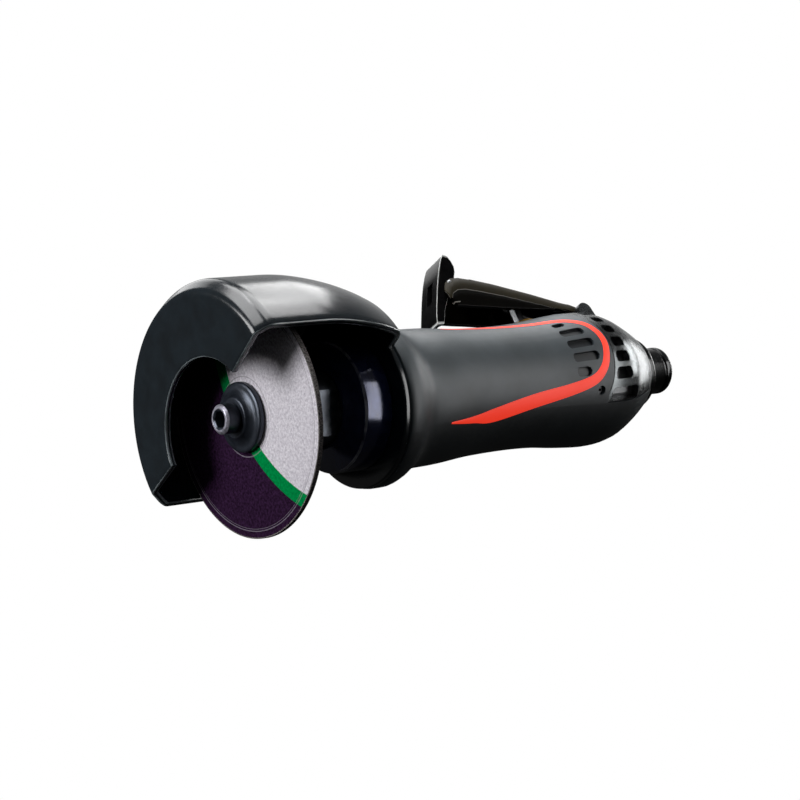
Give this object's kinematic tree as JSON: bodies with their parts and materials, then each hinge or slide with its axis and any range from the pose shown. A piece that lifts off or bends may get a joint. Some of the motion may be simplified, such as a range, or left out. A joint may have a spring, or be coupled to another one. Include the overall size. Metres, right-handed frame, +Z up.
{
  "type": "pneumatic cut-off grinder",
  "caption": "In-line air-powered cut-off tool: thin disc under a half guard, round gripped barrel with a lever throttle and lock-off catch, metal rear cap with exhaust windows, rear air inlet.",
  "frame": {"origin": "centre of the floor of the hex socket in the disc screw, on the tool's axis", "axes": "+X along the barrel from the disc to the air inlet, +Z up at the throttle lever, -Y the pictured side"},
  "size_m": [0.1973, 0.0857, 0.0882],
  "materials": {
    "guard_paint": "semi-gloss black with a blue-grey sheen",
    "black_steel": "glossy black",
    "abrasive_disc": "matt fibre-backed abrasive with a paper label",
    "blackened_steel": "dark satin",
    "steel": "ground",
    "fibre": "laminated fibre",
    "cast_iron": "ground",
    "seal_rubber": "matt",
    "housing_alloy": "machined",
    "grip_rubber": "satin dark grey",
    "stripe_rubber": "satin orange-red",
    "cap_alloy": "dark silver, semi-gloss",
    "screen_steel": "dark perforated sheet",
    "brass": "machined",
    "lever_paint": "glossy black"
  },
  "bodies": {
    "barrel": {"clamp_nut": "black_steel", "motor_cylinder": "cast_iron", "front_end_plate": "cast_iron", "rear_end_plate": "cast_iron", "plate_dowel": "steel", "front_bearing_outer_ring": "steel", "rear_bearing_outer_ring": "steel", "front_seal": "seal_rubber", "wave_washer": "steel", "rear_gasket": "seal_rubber", "housing": "housing_alloy", "grip": "grip_rubber", "stripe_near": "stripe_rubber", "stripe_far": "stripe_rubber", "rear_cap": "cap_alloy", "exhaust_screen": "screen_steel", "cap_lock_screw": "blackened_steel", "inlet_bushing": "black_steel", "inlet_lock_ring": "black_steel", "inlet_strainer": "brass", "valve_seat": "seal_rubber", "valve_spring": "steel", "valve_plug": "brass", "pin_bushing": "brass", "lever_pin": "steel"},
    "guard": {"guard": "guard_paint"},
    "spindle": {"cutting_disc": "abrasive_disc", "clamp_washer": "blackened_steel", "disc_screw": "blackened_steel", "drive_flange": "steel", "rotor": "steel", "vane_1": "fibre", "vane_2": "fibre", "vane_3": "fibre", "vane_4": "fibre", "vane_5": "fibre", "front_bearing_inner_ring": "steel", "rear_bearing_inner_ring": "steel"},
    "front_bearing_cage": {"front_bearing_balls": "steel"},
    "rear_bearing_cage": {"rear_bearing_balls": "steel"},
    "lever": {"throttle_lever": "lever_paint", "catch_pin": "steel", "catch_spring": "steel"},
    "catch": {"lock_off_catch": "black_steel"},
    "throttle": {"throttle_pin": "steel"}
  },
  "joints": [
    {"name": "spindle_spin", "type": "hinge", "parent": "barrel", "child": "spindle", "pos_m": [0, 0, 0], "axis": [1, 0, 0], "continuous": true},
    {"name": "front_cage_spin", "type": "hinge", "parent": "barrel", "child": "front_bearing_cage", "pos_m": [0.046, 0, 0], "axis": [1, 0, 0], "continuous": true},
    {"name": "rear_cage_spin", "type": "hinge", "parent": "barrel", "child": "rear_bearing_cage", "pos_m": [0.0921, 0, 0], "axis": [1, 0, 0], "continuous": true},
    {"name": "guard_turn", "type": "hinge", "parent": "barrel", "child": "guard", "pos_m": [0.0493, 0, 0], "axis": [1, 0, 0], "continuous": true},
    {"name": "lever_press", "type": "hinge", "parent": "barrel", "child": "lever", "pos_m": [0.156, 0, 0.0218], "axis": [0, -1, 0], "range_deg": [0, 8], "stiffness_Nm_per_rad": 1.2, "springref_deg": -6.88},
    {"name": "catch_tilt", "type": "hinge", "parent": "lever", "child": "catch", "pos_m": [0.1044, 0, 0.0388], "axis": [0, 1, 0], "range_deg": [0, 41]},
    {"name": "throttle_slide", "type": "slide", "parent": "barrel", "child": "throttle", "axis": [0, 0, -1], "range_m": [0, 0.0042], "deforming": ["valve_spring"]}
  ],
  "couplings": [
    {"joint": "front_cage_spin", "follows": "spindle_spin", "ratio": 0.395},
    {"joint": "rear_cage_spin", "follows": "spindle_spin", "ratio": 0.395},
    {"joint": "catch_tilt", "follows": "lever_press", "ratio": 5},
    {"joint": "throttle_slide", "follows": "lever_press", "m_per_rad": 0.0285}
  ]
}
